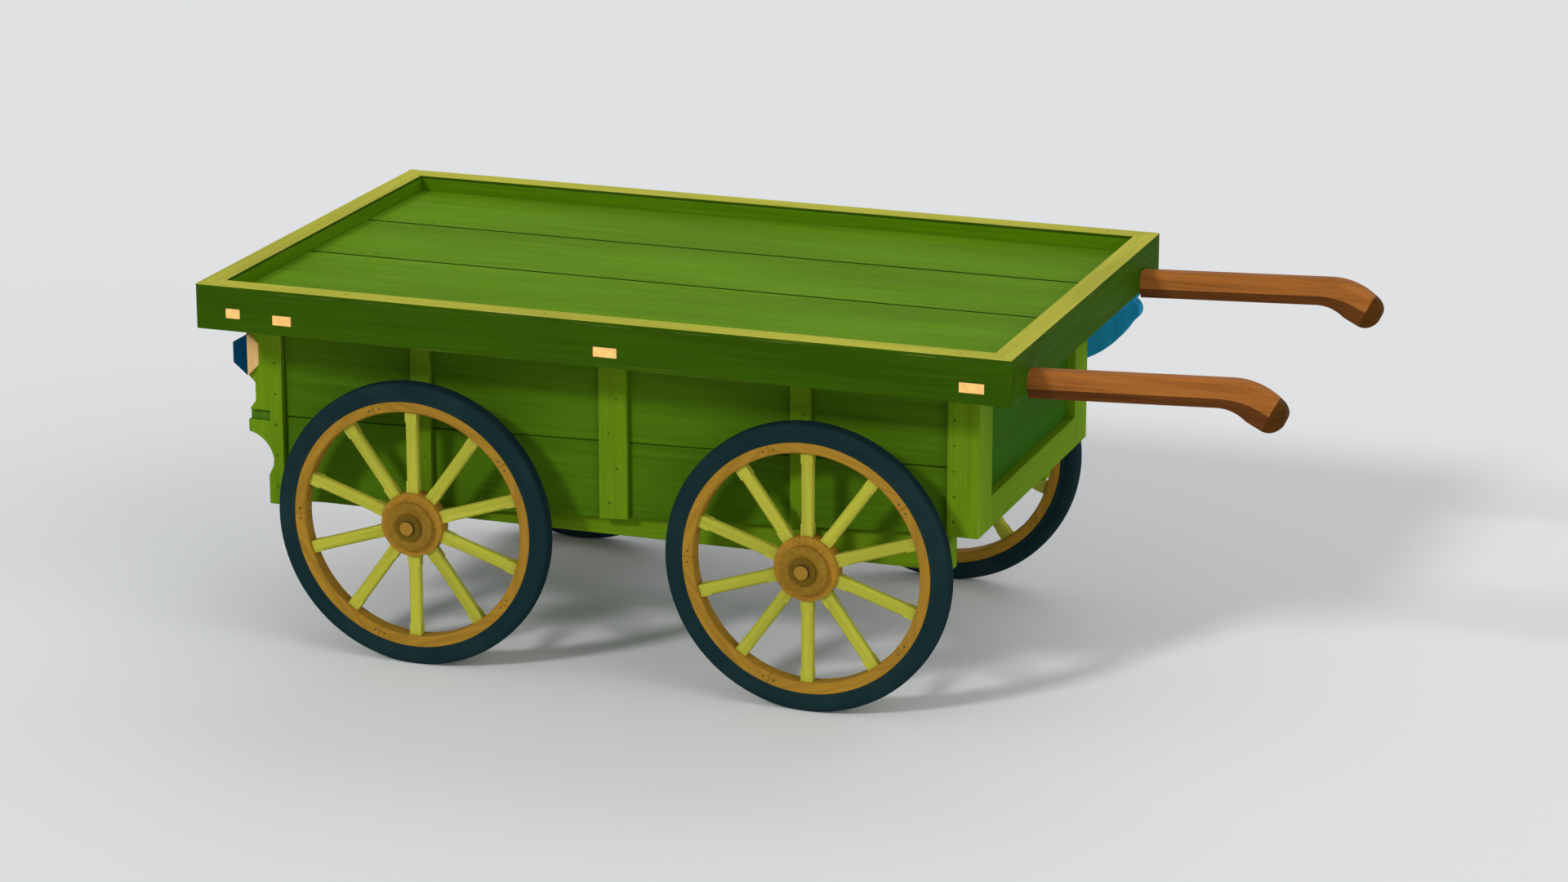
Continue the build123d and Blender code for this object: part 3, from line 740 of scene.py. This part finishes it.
rivetRow = {"turn": 0.045, "inset": 12.5 * mm}
nutRow = {"inset": 14 * mm, "drop": 3 * mm}
up = Vector((0, 0, 1))
down = Vector((0, 0, -1))
sink = 0.2 * mm  # heads are let in by this


def solidsOf(name):  # the corners of each solid in a CAD node
    bm = bmesh.new()
    bm.from_mesh(nodes[name].data)
    bmesh.ops.remove_doubles(bm, verts=bm.verts[:], dist=weld)
    groups = [[v.co.copy() for v in group] for group in islands(bm)]
    bm.free()
    return groups


nails = []  # those of the deck, the battens and the posts
inset = nailRows["deckInset"]
stray = nailRows["deckStray"]
for k in deckBoards:
    low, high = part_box("deck_board_" + str(k))
    for name in bearers:
        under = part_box(name)
        x = (under[0].x + under[1].x) / 2
        for y in (low.y + inset, high.y - inset):
            nails.append((Vector((x + dice.uniform(-stray, stray) * mm, y, high.z - sink)), up))
for side, sign in (("near", -1), ("far", 1)):
    out = Vector((0, sign, 0))
    for group in solidsOf("side_battens_" + side):
        xs = [p.x for p in group]
        zs = [p.z for p in group]
        y = max(sign * p.y for p in group)
        x = (min(xs) + max(xs)) / 2
        for k in range(nailRows["battenCount"]):
            z = min(zs) + (max(zs) - min(zs)) * (k + 0.5) / nailRows["battenCount"]
            shove = nailRows["battenShove"] if k % 2 else -nailRows["battenShove"]
            nails.append((Vector((x + shove, sign * (y - sink), z)), out))
    for name in ("corner_post_front_", "carved_post_rear_"):
        low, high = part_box(name + side)
        y = (high.y if sign > 0 else low.y) - sign * sink
        edge = nailRows["postInset"]
        x = low.x + edge if name.startswith("corner") else high.x - edge
        for k in range(nailRows["postCount"]):
            z = low.z + (high.z - low.z) * (k + nailRows["postFirst"]) / nailRows["postPaces"]
            nails.append((Vector((x, y, z)), out))
setStuds("Clenched_nails", "cart", nails, headTree, nailLook, nailPaint)

rimPins = []
for name in ("rim_cap_near", "rim_cap_far", "rim_cap_front", "rim_cap_rear"):
    low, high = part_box(name)
    lengthways = high.x - low.x > high.y - low.y
    span = (high.x - low.x) if lengthways else (high.y - low.y)
    count = max(pinRow["least"], round(span / pinRow["pitch"]))
    for k in range(count):
        t = (k + 0.5) / count
        x = low.x + span * t if lengthways else (low.x + high.x) / 2
        y = (low.y + high.y) / 2 if lengthways else low.y + span * t
        rimPins.append((Vector((x, y, high.z - pinStand - sink)), up))
setStuds("Rim_pins", "cart", rimPins, headTree, pinLook, nailIron)

strapNuts = []
for group in solidsOf("axle_straps"):
    xs = [p.x for p in group]
    ys = [p.y for p in group]
    z = min(p.z for p in group)
    for x in (min(xs) + nutRow["inset"], max(xs) - nutRow["inset"]):
        strapNuts.append((Vector((x, (min(ys) + max(ys)) / 2, z - nutRow["drop"])), down))
setStuds("Strap_nuts", "cart", strapNuts, nutTree, nutLook, strapIron)

for wheel in wheels:
    low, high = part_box("felloe_" + wheel)
    centre = (low + high) / 2
    radius = (high.x - low.x) / 2 - rivetRow["inset"]
    rivets = []
    for k in range(wheelLook["felloes"]):
        joint = wheelLook["firstJoint"] + 2 * math.pi * k / wheelLook["felloes"]
        for a in (joint - rivetRow["turn"], joint + rivetRow["turn"]):
            for y, way in ((low.y + sink, -1), (high.y - sink, 1)):
                spot = Vector((centre.x + radius * math.cos(a), y, centre.z + radius * math.sin(a)))
                rivets.append((spot, Vector((0, way, 0))))
    setStuds("Felloe_rivets_" + wheel, "wheel_" + wheel, rivets, headTree, pinLook, nailIron)
print("nails set")

# Floor, light and camera
studio = {
    "wide": 60.0, "floor": (0.76, 0.765, 0.77, 1.0), "floorRough": 0.8,
    "sky": (0.95, 0.97, 1.0, 1.0), "skyPower": 0.45,
}
floorMesh = bpy.data.meshes.new("Floor")
wide = studio["wide"]
corners = [(-wide, -wide, 0), (wide, -wide, 0), (wide, wide, 0), (-wide, wide, 0)]
floorMesh.from_pydata(corners, [], [(0, 1, 2, 3)])
floor = bpy.data.objects.new("Floor", floorMesh)
scene.collection.objects.link(floor)
floorFinish = Finish("Pale floor")
floorFinish.feed(floorFinish.shader.inputs["Base Color"], studio["floor"])
floorFinish.feed(floorFinish.shader.inputs["Roughness"], studio["floorRough"])
floorMesh.materials.append(floorFinish.material)

world = bpy.data.worlds.new("Studio")
world.use_nodes = True
scene.world = world
sky = world.node_tree.nodes["Background"]
sky.inputs["Color"].default_value = studio["sky"]
sky.inputs["Strength"].default_value = studio["skyPower"]

lamps = {
    "Key": {"from": (-3.5, -7.4, 5.2), "power": 1.5, "spread": 9.0},
    "Fill": {"from": (7.0, -3.0, 3.0), "power": 1.3, "spread": 60.0},
    "Back": {"from": (0.5, 6.0, 4.0), "power": 0.8, "spread": 60.0},
}
for title, lamp in lamps.items():
    light = bpy.data.lights.new(title, "SUN")
    light.energy = lamp["power"]
    light.angle = math.radians(lamp["spread"])
    holder = bpy.data.objects.new(title, light)
    holder.location = lamp["from"]
    holder.rotation_euler = (-Vector(lamp["from"])).to_track_quat("-Z", "Y").to_euler()
    scene.collection.objects.link(holder)

cameraLook = {
    "at": (3.4334, -9.7033, 3.5310), "tilt": 73.3834, "turn": 19.7407, "lens": 107.84, "sensor": 36.0,
}
lensData = bpy.data.cameras.new("Camera")
lensData.lens = cameraLook["lens"]
lensData.sensor_width = cameraLook["sensor"]
camera = bpy.data.objects.new("Camera", lensData)
camera.location = cameraLook["at"]
camera.rotation_euler = (math.radians(cameraLook["tilt"]), 0.0, math.radians(cameraLook["turn"]))
scene.collection.objects.link(camera)
scene.camera = camera
scene.view_settings.view_transform = "Standard"
print("floor, light and camera set")
